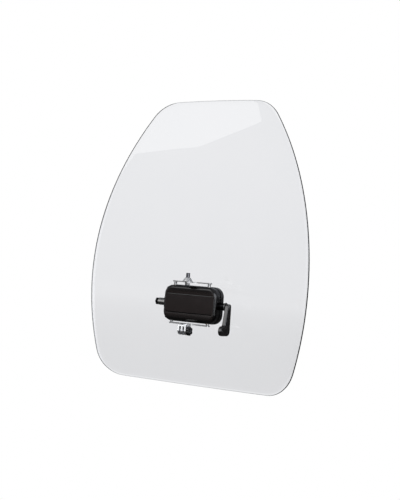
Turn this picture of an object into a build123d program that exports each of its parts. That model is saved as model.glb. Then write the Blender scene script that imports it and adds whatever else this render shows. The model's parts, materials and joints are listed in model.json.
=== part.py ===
from build123d import *
import os
from math import sqrt

# Clear handlebar windscreen on a tilting, lockable bar mount.
# Millimetres.  Origin: centre of the three-prong knuckle's pivot.
# +X is the rider's right, +Y points forward into the wind, +Z is up.

os.makedirs("parts", exist_ok=True)

# ---------------------------------------------------------------- dimensions
# Screen sheet
screen_height = 480.0
screen_half_width = 208.0        # at the widest level, measured straight across
screen_thickness = 3.0
bend_radius = 585.0              # of the rider's side, about an upright axis
screen_drop = 92.7               # bottom edge below the origin
screen_inner_y = 54.0            # rider's face at the middle
widest_height = 174.0            # above the bottom edge
side_radius = 485.0
top_edge_sag = 4.0
bottom_edge_sag = 4.2
top_corner_radius = 60.0
bottom_corner_radius = 55.0

# Tilt block: a hollow two-shell box around the tilt axis
tilt_y = 24.0
block_width = 102.0
block_height = 60.6
block_corner = 16.0
cover_depth = 15.5
housing_depth = 10.0
wall = 2.5
cover_inset = 0.8
cover_edge_fillet = 6.0
housing_edge_fillet = 1.2
groove_offset = 15.0
groove_width = 1.8
groove_depth = 1.2
gasket_thickness = 0.8
gasket_width = 1.6
boss_radius = 4.5
boss_edge_x = 9.0                # corner boss centre, in from the block's side
boss_edge_z = 8.5

# Tilt axis
shaft_radius = 3.0
shaft_clearance = 0.06
sleeve_radius = 6.0
sleeve_clearance = 0.08
barrel_radius = 8.0
barrel_half = 20.0
bush_radius = 5.0
bush_flange_radius = 7.5
bush_flange = 1.5
disc_radius = 8.0
disc_thickness = 2.0
spring_thickness = 1.2
saddle_thickness = 5.0
sleeve_reach = 16.5              # how far the left sleeve stands out of the block
thrust_reach = 9.4               # the same on the right
nut_flats = 11.0
nut_length = 5.0
tip = 0.5                        # shaft end past the adjuster nut

# Carrier that holds the screen
carrier_width = 62.0
carrier_height = 46.0
carrier_thickness = 4.0
carrier_corner = 6.0
carrier_gap = 3.6                # plate's front face to the screen's middle
neck_thickness = 12.0
neck_half = 17.0
window_margin = 4.0
window_half_height = 11.5
fix_spacing_x = 44.0
fix_spacing_z = 28.0
insert_radius = 3.4
insert_length = 6.5
carrier_boss_radius = 5.2
carrier_boss = 3.0
hole_radius = 4.2
grommet_neck_radius = 4.0
grommet_radius = 8.0
grommet_play = 0.12
washer_thickness = 1.5
fix_screw_radius = 2.5
fix_head_radius = 4.75
fix_head_height = 2.75

# Brackets above and below the block
bracket_thickness = 2.0
bracket_back_y = 19.0
bracket_front_y = 11.0
upper_bracket_width = 72.0
lower_bracket_width = 75.6
upper_standoff = 5.2
lower_standoff = 2.5
standoff_radius = 2.5
standoff_y = 15.0
standoff_inset = 3.5
tongue_half = 8.0
tongue_reach = 6.0               # tongue in front of the origin
bracket_screw_radius = 1.5
bracket_head_radius = 2.8
bracket_insert_radius = 2.1
bracket_insert_length = 6.0
bracket_boss_radius = 4.2

# Accessory stud
stud_radius = 3.175
stud_shank_radius = 3.5          # inside the collar
stud_height = 13.6               # above the upper bracket
collar_height = 6.0
collar_base_radius = 8.0
collar_top_radius = 3.9
stud_tail_radius = 2.5
stud_nut_flats = 8.0
stud_nut_height = 4.0

# Three-prong knuckle and its thumb screw
prong_thickness = 3.0
prong_gap = 3.2
prong_radius = 7.0
knuckle_drop = 9.3               # pivot below the lower bracket
knuckle_base = 2.2
pivot_radius = 2.5
pivot_clearance = 0.08
captive_nut_flats = 8.0
captive_nut_length = 3.2
nut_recess = 1.6                 # of that, let into the left prong
knob_radius = 7.4
knob_length = 4.8
knob_lobes = 6
knob_gap = 0.3
knuckle_screw_x = 4.6

# Clamp lever
lever_thickness = 6.6
lever_gap = 0.3
lever_eye_radius = 5.2
lever_arm_width = 12.5
lever_flare = 4.5                # the arm widens towards the paddle's toe
lever_edge_fillet = 1.2
instep_radius = 3.0
paddle_reach = 38.4              # paddle's centre below the tilt axis
paddle_radius = 7.8
paddle_length = 12.6             # between the heel's and the toe's centres
dimple_radius = 8.5
dimple_offset = 6.0              # sphere's centre, off the lever's inner face
thrust_washer_radius = 7.0
thrust_washer_thickness = 1.5
lever_insert_radius = 4.2
lever_insert_length = 3.8
lever_head_radius = 3.9
lever_head_height = 2.2
lever_screw_radius = 2.0
lever_screw_length = 8.0

fit_gap = 0.05                   # radial room around screws and inserts

# ------------------------------------------------------------ derived places
# the block stands on the lower bracket, which stands on the knuckle
tilt_z = knuckle_drop + bracket_thickness + lower_standoff + block_height / 2 - cover_inset

screen_bottom = -screen_drop
screen_top = screen_bottom + screen_height
bend_axis_y = screen_inner_y - bend_radius
outer_bend_radius = bend_radius + screen_thickness

block_front_y = tilt_y - cover_depth
block_rear_y = tilt_y + housing_depth
block_half = block_width / 2
block_top = tilt_z + block_height / 2
block_bottom = tilt_z - block_height / 2
cover_top = block_top - cover_inset
cover_bottom = block_bottom + cover_inset
cover_half = block_half - cover_inset
boss_x = block_half - boss_edge_x
boss_z = block_height / 2 - boss_edge_z
half_gasket = gasket_thickness / 2

bush_end = barrel_half + bush_flange
disc_end = bush_end + disc_thickness
spring_end = disc_end + 2 * spring_thickness
sleeve_end = block_half + sleeve_reach
nut_end = sleeve_end + nut_length
thrust_end = block_half + thrust_reach
lever_inner = thrust_end + thrust_washer_thickness + lever_gap

carrier_front_y = screen_inner_y - carrier_gap
carrier_rear_y = carrier_front_y - carrier_thickness
fix_points = [
    (x, tilt_z + z)
    for x in (-fix_spacing_x / 2, fix_spacing_x / 2)
    for z in (-fix_spacing_z / 2, fix_spacing_z / 2)
]

upper_bracket_z = cover_top + upper_standoff
lower_bracket_z = cover_bottom - lower_standoff
upper_screw_x = upper_bracket_width / 2 - standoff_inset
lower_screw_x = lower_bracket_width / 2 - standoff_inset
knuckle_top = lower_bracket_z - bracket_thickness
knuckle_half = 1.5 * prong_thickness + prong_gap

# Planes: sketches drawn as seen from the rider's seat or along the tilt axis
rider_view = Plane.XZ                                  # normal points to -Y
from_right = Plane(origin=(0, tilt_y, tilt_z), x_dir=(0, 1, 0), z_dir=(1, 0, 0))
knuckle_view = Plane(origin=(0, 0, 0), x_dir=(0, 1, 0), z_dir=(1, 0, 0))


def facing_rider(y):
    """Plane at depth y, seen from the rider; extruding moves towards the rider."""
    return rider_view.offset(-y)


def sheet_face_y(x, radius=bend_radius):
    """Depth of the bent sheet's face at distance x from the middle."""
    return bend_axis_y + sqrt(radius ** 2 - x ** 2)


# ------------------------------------------------------------------- screen
side_centre_x = screen_half_width - side_radius
widest_z = screen_bottom + widest_height
top_corner_z = screen_top - top_edge_sag
bottom_corner_z = screen_bottom + bottom_edge_sag
top_corner_x = side_centre_x + sqrt(side_radius ** 2 - (top_corner_z - widest_z) ** 2)
bottom_corner_x = side_centre_x + sqrt(side_radius ** 2 - (widest_z - bottom_corner_z) ** 2)

with BuildPart() as windscreen:
    # bent sheet: a ring sector taller than the screen
    with BuildSketch(Plane.XY.offset(screen_bottom - 1)):
        with Locations((0, bend_axis_y)):
            Circle(outer_bend_radius)
            Circle(bend_radius, mode=Mode.SUBTRACT)
        with Locations((0, screen_inner_y)):
            Rectangle(2.1 * screen_half_width, bend_radius, mode=Mode.INTERSECT)
    extrude(amount=screen_height + 2)
    # outline, cut straight through along Y
    with BuildSketch(facing_rider(screen_inner_y + 20)):
        with BuildLine():
            SagittaArc(
                (-bottom_corner_x, bottom_corner_z), (bottom_corner_x, bottom_corner_z),
                -bottom_edge_sag,
            )
            ThreePointArc(
                (bottom_corner_x, bottom_corner_z), (screen_half_width, widest_z),
                (top_corner_x, top_corner_z),
            )
            SagittaArc((top_corner_x, top_corner_z), (-top_corner_x, top_corner_z), -top_edge_sag)
            ThreePointArc(
                (-top_corner_x, top_corner_z), (-screen_half_width, widest_z),
                (-bottom_corner_x, bottom_corner_z),
            )
        make_face()
        fillet(vertices().group_by(Axis.Y)[-1], radius=top_corner_radius)
        fillet(vertices().group_by(Axis.Y)[0], radius=bottom_corner_radius)
    extrude(amount=bend_radius, mode=Mode.INTERSECT)
    # fixing holes
    with BuildSketch(facing_rider(screen_inner_y + 20)):
        with Locations(*fix_points):
            Circle(hole_radius)
    extrude(amount=40, mode=Mode.SUBTRACT)
windscreen.part.label = "windscreen"
export_step(windscreen.part, "parts/windscreen.step")

# ---------------------------------------------------- screen fixing hardware
with BuildPart() as carrier:
    # barrel around the tilt axis
    with BuildSketch(from_right.offset(-barrel_half)):
        Circle(barrel_radius)
    extrude(amount=2 * barrel_half)
    # neck through the housing's window
    with BuildSketch(from_right.offset(-neck_half)):
        with Locations(((carrier_rear_y - tilt_y) / 2, 0)):
            Rectangle(carrier_rear_y - tilt_y, neck_thickness)
    extrude(amount=2 * neck_half)
    # plate, with a round boss behind each insert
    with BuildSketch(facing_rider(carrier_front_y)):
        with Locations((0, tilt_z)):
            RectangleRounded(carrier_width, carrier_height, carrier_corner)
    extrude(amount=carrier_thickness)
    with BuildSketch(facing_rider(carrier_rear_y)):
        with Locations(*fix_points):
            Circle(carrier_boss_radius)
    extrude(amount=carrier_boss)
    with BuildSketch(facing_rider(carrier_front_y)):
        with Locations(*fix_points):
            Circle(insert_radius)
    extrude(amount=carrier_thickness + carrier_boss, mode=Mode.SUBTRACT)
    # bore for the bushes
    with BuildSketch(from_right.offset(-barrel_half)):
        Circle(bush_radius)
    extrude(amount=2 * barrel_half, mode=Mode.SUBTRACT)
carrier.part.label = "carrier"
export_step(carrier.part, "parts/carrier.step")

with BuildPart() as carrier_bushes:
    for side in (-1, 1):
        with BuildSketch(from_right.offset(side * barrel_half)):
            Circle(bush_flange_radius)
            Circle(shaft_radius + shaft_clearance, mode=Mode.SUBTRACT)
        extrude(amount=side * bush_flange)
        with BuildSketch(from_right.offset(side * barrel_half)):
            Circle(bush_radius)
            Circle(shaft_radius + shaft_clearance, mode=Mode.SUBTRACT)
        extrude(amount=-side * barrel_half * 0.7)
carrier_bushes.part.label = "carrier_bushes"
export_step(carrier_bushes.part, "parts/carrier_bushes.step")

with BuildPart() as carrier_inserts:
    with BuildSketch(facing_rider(carrier_front_y)):
        with Locations(*fix_points):
            Circle(insert_radius)
            Circle(fix_screw_radius + fit_gap, mode=Mode.SUBTRACT)
    extrude(amount=insert_length)
carrier_inserts.part.label = "carrier_inserts"
export_step(carrier_inserts.part, "parts/carrier_inserts.step")

# each grommet fills the space between the plate and the bent sheet, and lines its hole
grommet_outer_x = fix_spacing_x / 2 + grommet_radius
grommet_seat = carrier_front_y
grommet_face = sheet_face_y(grommet_outer_x) - grommet_play
grommet_inner_x = fix_spacing_x / 2 - grommet_radius
washer_seat = sheet_face_y(grommet_inner_x, outer_bend_radius) + grommet_play
with BuildPart() as screen_grommets:
    with BuildSketch(facing_rider(grommet_face)):
        with Locations(*fix_points):
            Circle(grommet_radius)
            Circle(fix_screw_radius + fit_gap, mode=Mode.SUBTRACT)
    extrude(amount=grommet_face - grommet_seat)
    with BuildSketch(facing_rider(washer_seat)):
        with Locations(*fix_points):
            Circle(grommet_neck_radius)
            Circle(fix_screw_radius + fit_gap, mode=Mode.SUBTRACT)
    extrude(amount=washer_seat - grommet_face)
screen_grommets.part.label = "screen_grommets"
export_step(screen_grommets.part, "parts/screen_grommets.step")

washer_face = washer_seat + washer_thickness
with BuildPart() as screen_washers:
    with BuildSketch(facing_rider(washer_face)):
        with Locations(*fix_points):
            Circle(grommet_radius)
            Circle(fix_screw_radius + fit_gap, mode=Mode.SUBTRACT)
    extrude(amount=washer_thickness)
    fillet(edges().group_by(Axis.Y)[-1].filter_by(
        lambda e: e.radius > 0.9 * grommet_radius), radius=washer_thickness / 2)
screen_washers.part.label = "screen_washers"
export_step(screen_washers.part, "parts/screen_washers.step")

with BuildPart() as screen_screws:
    with BuildSketch(facing_rider(washer_face + fix_head_height)):
        with Locations(*fix_points):
            Circle(fix_head_radius)
    extrude(amount=fix_head_height)
    fillet(edges().group_by(Axis.Y)[-1], radius=0.7 * fix_head_height)
    with BuildSketch(facing_rider(washer_face)):
        with Locations(*fix_points):
            Circle(fix_screw_radius)
    extrude(amount=washer_face - carrier_front_y + insert_length)
    with BuildSketch(facing_rider(washer_face + fix_head_height)):
        with Locations(*fix_points):
            RegularPolygon(1.5, 6, major_radius=False)
    extrude(amount=0.55 * fix_head_height, mode=Mode.SUBTRACT)
screen_screws.part.label = "screen_screws"
export_step(screen_screws.part, "parts/screen_screws.step")

# ---------------------------------------------------------------- tilt block
boss_points = [(x, tilt_z + z) for x in (-boss_x, boss_x) for z in (-boss_z, boss_z)]
cover_split_y = tilt_y - half_gasket
housing_split_y = tilt_y + half_gasket
cover_corner = block_corner - cover_inset
window_half = barrel_half + bush_flange + disc_thickness + window_margin
saddle_x = block_half - saddle_thickness

with BuildPart() as rear_housing:
    with BuildSketch(facing_rider(block_rear_y)):
        with Locations((0, tilt_z)):
            RectangleRounded(block_width, block_height, block_corner)
    extrude(amount=block_rear_y - housing_split_y)
    fillet(edges().group_by(Axis.Y)[-1], radius=housing_edge_fillet)
    with BuildSketch(facing_rider(block_rear_y - wall)):
        with Locations((0, tilt_z)):
            RectangleRounded(block_width - 2 * wall, block_height - 2 * wall, block_corner - wall)
    extrude(amount=block_rear_y - wall - housing_split_y, mode=Mode.SUBTRACT)
    # screw bosses in the corners, saddles for the sleeves at both sides
    with BuildSketch(facing_rider(block_rear_y - wall)):
        with Locations(*boss_points):
            Circle(boss_radius)
        with Locations((-saddle_x, tilt_z), (saddle_x, tilt_z)):
            Rectangle(2 * saddle_thickness - 2 * housing_edge_fillet, 2 * sleeve_radius + 5)
    extrude(amount=block_rear_y - wall - housing_split_y)
    with BuildSketch(from_right.offset(-block_half - 1)):
        Circle(sleeve_radius + sleeve_clearance)
    extrude(amount=block_width + 2, mode=Mode.SUBTRACT)
    # window for the carrier's neck
    with BuildSketch(facing_rider(block_rear_y + 1)):
        with Locations((0, tilt_z)):
            RectangleRounded(2 * window_half, 2 * window_half_height, 3)
    extrude(amount=wall + 2, mode=Mode.SUBTRACT)
    # clearance and head recess for the cover screws
    with BuildSketch(facing_rider(block_rear_y + 1)):
        with Locations(*boss_points):
            Circle(bracket_screw_radius + fit_gap)
    extrude(amount=housing_depth + 2, mode=Mode.SUBTRACT)
    with BuildSketch(facing_rider(block_rear_y + 1)):
        with Locations(*boss_points):
            Circle(bracket_head_radius + 0.2)
    extrude(amount=3, mode=Mode.SUBTRACT)
rear_housing.part.label = "rear_housing"
export_step(rear_housing.part, "parts/rear_housing.step")

standoff_boss_depth = bracket_insert_length + 1
with BuildPart() as front_cover:
    with BuildSketch(facing_rider(cover_split_y)):
        with Locations((0, tilt_z)):
            RectangleRounded(2 * cover_half, block_height - 2 * cover_inset, cover_corner)
    extrude(amount=cover_split_y - block_front_y)
    fillet(edges().group_by(Axis.Y)[0], radius=cover_edge_fillet)
    with BuildSketch(facing_rider(cover_split_y)):
        with Locations((0, tilt_z)):
            RectangleRounded(
                2 * (cover_half - wall), block_height - 2 * (cover_inset + wall),
                cover_corner - wall,
            )
    extrude(amount=cover_split_y - block_front_y - wall, mode=Mode.SUBTRACT)
    # two long grooves across the face
    with BuildSketch(facing_rider(block_front_y + groove_depth)):
        with Locations((0, tilt_z - groove_offset), (0, tilt_z + groove_offset)):
            Rectangle(2 * (cover_half - cover_edge_fillet), groove_width)
    extrude(amount=groove_depth + 1, mode=Mode.SUBTRACT)
    # bosses for the housing screws, saddles, and bosses for the bracket screws
    with BuildSketch(facing_rider(cover_split_y)):
        with Locations(*boss_points):
            Circle(boss_radius)
        with Locations((-saddle_x, tilt_z), (saddle_x, tilt_z)):
            Rectangle(2 * (cover_half - saddle_x) - 1, 2 * sleeve_radius + 5)
    extrude(amount=cover_split_y - block_front_y - wall)
    for face_z, screw_x, direction in (
        (cover_top, upper_screw_x, -1),
        (cover_bottom, lower_screw_x, 1),
    ):
        with BuildSketch(Plane.XY.offset(face_z + direction * wall / 2)):
            with Locations((-screw_x, standoff_y), (screw_x, standoff_y)):
                Circle(bracket_boss_radius)
        extrude(amount=direction * (standoff_boss_depth - wall / 2))
        with BuildSketch(Plane.XY.offset(face_z)):
            with Locations((-screw_x, standoff_y), (screw_x, standoff_y)):
                Circle(bracket_insert_radius)
        extrude(amount=direction * bracket_insert_length, mode=Mode.SUBTRACT)
        with BuildSketch(Plane.XY.offset(face_z)):
            with Locations((-screw_x, standoff_y), (screw_x, standoff_y)):
                Circle(bracket_screw_radius + fit_gap)
        extrude(amount=direction * standoff_boss_depth, mode=Mode.SUBTRACT)
    with BuildSketch(from_right.offset(-block_half - 1)):
        Circle(sleeve_radius + sleeve_clearance)
    extrude(amount=block_width + 2, mode=Mode.SUBTRACT)
    # pockets for the cover screw inserts
    with BuildSketch(facing_rider(cover_split_y)):
        with Locations(*boss_points):
            Circle(bracket_insert_radius)
    extrude(amount=bracket_insert_length, mode=Mode.SUBTRACT)
front_cover.part.label = "front_cover"
export_step(front_cover.part, "parts/front_cover.step")

with BuildPart() as cover_gasket:
    with BuildSketch(facing_rider(housing_split_y)):
        with Locations((0, tilt_z)):
            RectangleRounded(2 * cover_half - 1, block_height - 2 * cover_inset - 1,
                             cover_corner - 0.5)
            RectangleRounded(
                2 * (cover_half - gasket_width) - 1,
                block_height - 2 * (cover_inset + gasket_width) - 1,
                cover_corner - gasket_width - 0.5, mode=Mode.SUBTRACT,
            )
    extrude(amount=gasket_thickness)
    with BuildSketch(from_right.offset(-block_half - 1)):
        Circle(sleeve_radius + sleeve_clearance)
    extrude(amount=block_width + 2, mode=Mode.SUBTRACT)
cover_gasket.part.label = "cover_gasket"
export_step(cover_gasket.part, "parts/cover_gasket.step")

with BuildPart() as cover_inserts:
    with BuildSketch(facing_rider(cover_split_y)):
        with Locations(*boss_points):
            Circle(bracket_insert_radius)
            Circle(bracket_screw_radius + fit_gap, mode=Mode.SUBTRACT)
    extrude(amount=bracket_insert_length)
cover_inserts.part.label = "cover_inserts"
export_step(cover_inserts.part, "parts/cover_inserts.step")

cover_head_seat = block_rear_y - 2
with BuildPart() as cover_screws:
    with BuildSketch(facing_rider(cover_head_seat + 1.8)):
        with Locations(*boss_points):
            Circle(bracket_head_radius)
    extrude(amount=1.8)
    with BuildSketch(facing_rider(cover_head_seat)):
        with Locations(*boss_points):
            Circle(bracket_screw_radius)
    extrude(amount=cover_head_seat - cover_split_y + bracket_insert_length - 0.5)
    with BuildSketch(facing_rider(cover_head_seat + 1.8)):
        with Locations(*boss_points):
            RegularPolygon(1.0, 6, major_radius=False)
    extrude(amount=1.2, mode=Mode.SUBTRACT)
cover_screws.part.label = "cover_screws"
export_step(cover_screws.part, "parts/cover_screws.step")

# ----------------------------------------------------------------- tilt axis
shaft_end = lever_inner + lever_insert_length - 0.3
with BuildPart() as tilt_shaft:
    with BuildSketch(from_right.offset(-nut_end - tip)):
        Circle(shaft_radius)
    extrude(amount=nut_end + tip + shaft_end)
    # tapped end for the lever screw
    with BuildSketch(from_right.offset(shaft_end)):
        Circle(lever_screw_radius + shaft_clearance)
    extrude(amount=-lever_screw_length - 1, mode=Mode.SUBTRACT)
tilt_shaft.part.label = "tilt_shaft"
export_step(tilt_shaft.part, "parts/tilt_shaft.step")

with BuildPart() as friction_discs:
    for side in (-1, 1):
        with BuildSketch(from_right.offset(side * bush_end)):
            Circle(disc_radius)
            Circle(shaft_radius + shaft_clearance, mode=Mode.SUBTRACT)
        extrude(amount=side * disc_thickness)
friction_discs.part.label = "friction_discs"
export_step(friction_discs.part, "parts/friction_discs.step")

# two dished spring washers, back to back
with BuildPart() as spring_washers:
    for start, flip in ((spring_end, 1), (disc_end, -1)):
        with BuildSketch(Plane(origin=(-start, tilt_y, tilt_z), x_dir=(flip, 0, 0),
                               z_dir=(0, 0, 1))):
            with BuildLine():
                Polyline(
                    (0, shaft_radius + 0.1), (0.5, shaft_radius + 0.1),
                    (spring_thickness, disc_radius - 1), (spring_thickness - 0.5, disc_radius - 1),
                    close=True,
                )
            make_face()
        revolve(axis=Axis((0, tilt_y, tilt_z), (1, 0, 0)))
spring_washers.part.label = "spring_washers"
export_step(spring_washers.part, "parts/spring_washers.step")

with BuildPart() as adjuster_sleeve:
    with BuildSketch(from_right.offset(-spring_end)):
        Circle(sleeve_radius)
        Circle(shaft_radius + shaft_clearance, mode=Mode.SUBTRACT)
    extrude(amount=-(sleeve_end - spring_end))
    fillet(edges().group_by(Axis.X)[0].sort_by(SortBy.RADIUS)[-1:], radius=0.6)
adjuster_sleeve.part.label = "adjuster_sleeve"
export_step(adjuster_sleeve.part, "parts/adjuster_sleeve.step")

with BuildPart() as adjuster_nut:
    with BuildSketch(from_right.offset(-sleeve_end)):
        RegularPolygon(nut_flats / 2, 6, major_radius=False)
        Circle(shaft_radius + shaft_clearance, mode=Mode.SUBTRACT)
    extrude(amount=-nut_length)
    chamfer(edges().group_by(Axis.X)[0].filter_by(GeomType.LINE), length=0.4)
adjuster_nut.part.label = "adjuster_nut"
export_step(adjuster_nut.part, "parts/adjuster_nut.step")

with BuildPart() as thrust_sleeve:
    with BuildSketch(from_right.offset(disc_end)):
        Circle(sleeve_radius)
        Circle(shaft_radius + shaft_clearance, mode=Mode.SUBTRACT)
    extrude(amount=thrust_end - disc_end)
thrust_sleeve.part.label = "thrust_sleeve"
export_step(thrust_sleeve.part, "parts/thrust_sleeve.step")

with BuildPart() as thrust_washer:
    with BuildSketch(from_right.offset(thrust_end)):
        Circle(thrust_washer_radius)
        Circle(shaft_radius + shaft_clearance, mode=Mode.SUBTRACT)
    extrude(amount=thrust_washer_thickness)
    fillet(edges().group_by(Axis.X)[-1].sort_by(SortBy.RADIUS)[-1:], radius=0.4)
thrust_washer.part.label = "thrust_washer"
export_step(thrust_washer.part, "parts/thrust_washer.step")

# -------------------------------------------------------------- clamp lever
paddle_drop = -paddle_reach
arm_half = lever_arm_width / 2
paddle_heel = arm_half - paddle_radius
paddle_toe = paddle_heel - paddle_length
paddle_top = paddle_drop + paddle_radius
paddle_bottom = paddle_drop - paddle_radius
with BuildPart() as clamp_lever:
    # an arm rounded at the eye, widening into a boot-shaped thumb paddle
    with BuildSketch(from_right.offset(lever_inner)):
        with BuildLine():
            eye = ThreePointArc((lever_eye_radius, 0), (0, lever_eye_radius), (-lever_eye_radius, 0))
            front = Line(eye @ 1, (-arm_half - lever_flare, paddle_top))
            instep = Line(front @ 1, (paddle_toe, paddle_top))
            toe = ThreePointArc(
                instep @ 1, (paddle_toe - paddle_radius, paddle_drop), (paddle_toe, paddle_bottom)
            )
            sole = Line(toe @ 1, (paddle_heel, paddle_bottom))
            heel = JernArc(sole @ 1, (1, 0), paddle_radius, 90)
            Line(heel @ 1, eye @ 0)
        make_face()
        fillet(vertices().sort_by_distance((-arm_half - lever_flare, paddle_top))[0], radius=instep_radius)
    extrude(amount=lever_thickness)
    fillet(edges().group_by(Axis.X)[0] + edges().group_by(Axis.X)[-1], radius=lever_edge_fillet)
    # seat for the threaded insert, and a thumb dimple
    with BuildSketch(from_right.offset(lever_inner)):
        Circle(lever_insert_radius)
    extrude(amount=lever_thickness, mode=Mode.SUBTRACT)
    dimple_middle = (lever_inner - dimple_offset, tilt_y + paddle_toe, tilt_z + paddle_drop)
    with Locations(Location(dimple_middle, (0, 90, 0))):
        Sphere(dimple_radius, mode=Mode.SUBTRACT)
clamp_lever.part.label = "clamp_lever"
export_step(clamp_lever.part, "parts/clamp_lever.step")

with BuildPart() as lever_insert:
    with BuildSketch(from_right.offset(lever_inner)):
        Circle(lever_insert_radius)
        Circle(shaft_radius + shaft_clearance, mode=Mode.SUBTRACT)
    extrude(amount=lever_insert_length)
lever_insert.part.label = "lever_insert"
export_step(lever_insert.part, "parts/lever_insert.step")

# the screw's head sits on the insert, sunk in the eye
head_seat = lever_inner + lever_insert_length
with BuildPart() as lever_screw:
    with BuildSketch(from_right.offset(head_seat)):
        Circle(lever_head_radius)
    extrude(amount=lever_head_height)
    fillet(edges().group_by(Axis.X)[-1], radius=0.6 * lever_head_height)
    with BuildSketch(from_right.offset(head_seat)):
        Circle(lever_screw_radius)
    extrude(amount=-lever_screw_length)
    with BuildSketch(from_right.offset(head_seat + lever_head_height)):
        RegularPolygon(1.25, 6, major_radius=False)
    extrude(amount=-0.5 * lever_head_height, mode=Mode.SUBTRACT)
lever_screw.part.label = "lever_screw"
export_step(lever_screw.part, "parts/lever_screw.step")

# ------------------------------------------------------------------ brackets
bracket_mid_y = (bracket_back_y + bracket_front_y) / 2
bracket_depth = bracket_back_y - bracket_front_y


def bracket_outline(width, screw_x):
    """Plate with a rounded tongue reaching in front of the origin."""
    with Locations((0, bracket_mid_y)):
        RectangleRounded(width, bracket_depth, 2)
    with Locations((0, (bracket_mid_y - tongue_reach + tongue_half) / 2)):
        Rectangle(2 * tongue_half, bracket_mid_y + tongue_reach - tongue_half)
    with Locations((0, tongue_half - tongue_reach)):
        Circle(tongue_half)
    with Locations((-screw_x, standoff_y), (screw_x, standoff_y)):
        Circle(bracket_screw_radius + fit_gap, mode=Mode.SUBTRACT)


def countersinks(points):
    """Conical seats, cut from the plane that is being worked on."""
    with Locations(*points):
        Circle(bracket_head_radius)


csk_depth = bracket_head_radius - bracket_screw_radius
with BuildPart() as upper_bracket:
    with BuildSketch(Plane.XY.offset(upper_bracket_z)):
        bracket_outline(upper_bracket_width, upper_screw_x)
        Circle(stud_tail_radius + fit_gap, mode=Mode.SUBTRACT)
    extrude(amount=bracket_thickness)
    with BuildSketch(Plane.XY.offset(upper_bracket_z + bracket_thickness)):
        countersinks([(-upper_screw_x, standoff_y), (upper_screw_x, standoff_y)])
    extrude(amount=-csk_depth, taper=45, mode=Mode.SUBTRACT)
upper_bracket.part.label = "upper_bracket"
export_step(upper_bracket.part, "parts/upper_bracket.step")

with BuildPart() as lower_bracket:
    with BuildSketch(Plane.XY.offset(lower_bracket_z)):
        bracket_outline(lower_bracket_width, lower_screw_x)
        with Locations((-knuckle_screw_x, 0), (knuckle_screw_x, 0)):
            Circle(bracket_screw_radius + fit_gap, mode=Mode.SUBTRACT)
    extrude(amount=-bracket_thickness)
    with BuildSketch(Plane.XY.offset(lower_bracket_z - bracket_thickness)):
        countersinks([(-lower_screw_x, standoff_y), (lower_screw_x, standoff_y)])
    extrude(amount=csk_depth, taper=45, mode=Mode.SUBTRACT)
    with BuildSketch(Plane.XY.offset(lower_bracket_z)):
        countersinks([(-knuckle_screw_x, 0), (knuckle_screw_x, 0)])
    extrude(amount=-csk_depth, taper=45, mode=Mode.SUBTRACT)
lower_bracket.part.label = "lower_bracket"
export_step(lower_bracket.part, "parts/lower_bracket.step")

brackets = (
    (upper_screw_x, cover_top, upper_bracket_z + bracket_thickness, 1),
    (lower_screw_x, cover_bottom, lower_bracket_z - bracket_thickness, -1),
)
with BuildPart() as bracket_standoffs:
    for screw_x, foot_z, outer_z, up in brackets:
        with BuildSketch(Plane.XY.offset(foot_z)):
            with Locations((-screw_x, standoff_y), (screw_x, standoff_y)):
                Circle(standoff_radius)
                Circle(bracket_screw_radius + fit_gap, mode=Mode.SUBTRACT)
        extrude(amount=outer_z - foot_z - up * bracket_thickness)
bracket_standoffs.part.label = "bracket_standoffs"
export_step(bracket_standoffs.part, "parts/bracket_standoffs.step")

with BuildPart() as bracket_inserts:
    for screw_x, foot_z, outer_z, up in brackets:
        with BuildSketch(Plane.XY.offset(foot_z)):
            with Locations((-screw_x, standoff_y), (screw_x, standoff_y)):
                Circle(bracket_insert_radius)
                Circle(bracket_screw_radius + fit_gap, mode=Mode.SUBTRACT)
        extrude(amount=-up * bracket_insert_length)
bracket_inserts.part.label = "bracket_inserts"
export_step(bracket_inserts.part, "parts/bracket_inserts.step")

with BuildPart() as bracket_screws:
    for screw_x, foot_z, outer_z, up in brackets:
        places = [(-screw_x, standoff_y), (screw_x, standoff_y)]
        with BuildSketch(Plane.XY.offset(outer_z)):
            with Locations(*places):
                Circle(bracket_head_radius - fit_gap)
        extrude(amount=-up * csk_depth, taper=45)
        with BuildSketch(Plane.XY.offset(outer_z - up * csk_depth * 0.9)):
            with Locations(*places):
                Circle(bracket_screw_radius)
        extrude(amount=foot_z - outer_z + up * csk_depth * 0.9 - up * bracket_insert_length)
bracket_screws.part.label = "bracket_screws"
export_step(bracket_screws.part, "parts/bracket_screws.step")

# ------------------------------------------------------------ accessory stud
upper_face_z = upper_bracket_z + bracket_thickness
stud_top_z = upper_face_z + stud_height
stud_nut_z = upper_bracket_z - stud_nut_height
with BuildPart() as accessory_stud:
    with BuildSketch(Plane.XY.offset(upper_face_z)):
        Circle(stud_radius)
    extrude(amount=stud_height)
    chamfer(edges().group_by(Axis.Z)[-1], length=0.6)
    with BuildSketch(Plane.XY.offset(upper_face_z)):
        Circle(stud_shank_radius)
    extrude(amount=collar_height)
    with BuildSketch(Plane.XY.offset(upper_face_z)):
        Circle(stud_tail_radius)
    extrude(amount=-(bracket_thickness + stud_nut_height + 0.5))
accessory_stud.part.label = "accessory_stud"
export_step(accessory_stud.part, "parts/accessory_stud.step")

with BuildPart() as stud_collar:
    with BuildSketch(Plane.XZ):
        with BuildLine():
            Polyline(
                (stud_shank_radius + fit_gap, upper_face_z), (collar_base_radius, upper_face_z),
                (collar_base_radius, upper_face_z + 0.8),
                (collar_top_radius + 0.6, upper_face_z + collar_height),
                (stud_shank_radius + fit_gap, upper_face_z + collar_height), close=True,
            )
        make_face()
    revolve(axis=Axis.Z)
stud_collar.part.label = "stud_collar"
export_step(stud_collar.part, "parts/stud_collar.step")

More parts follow.
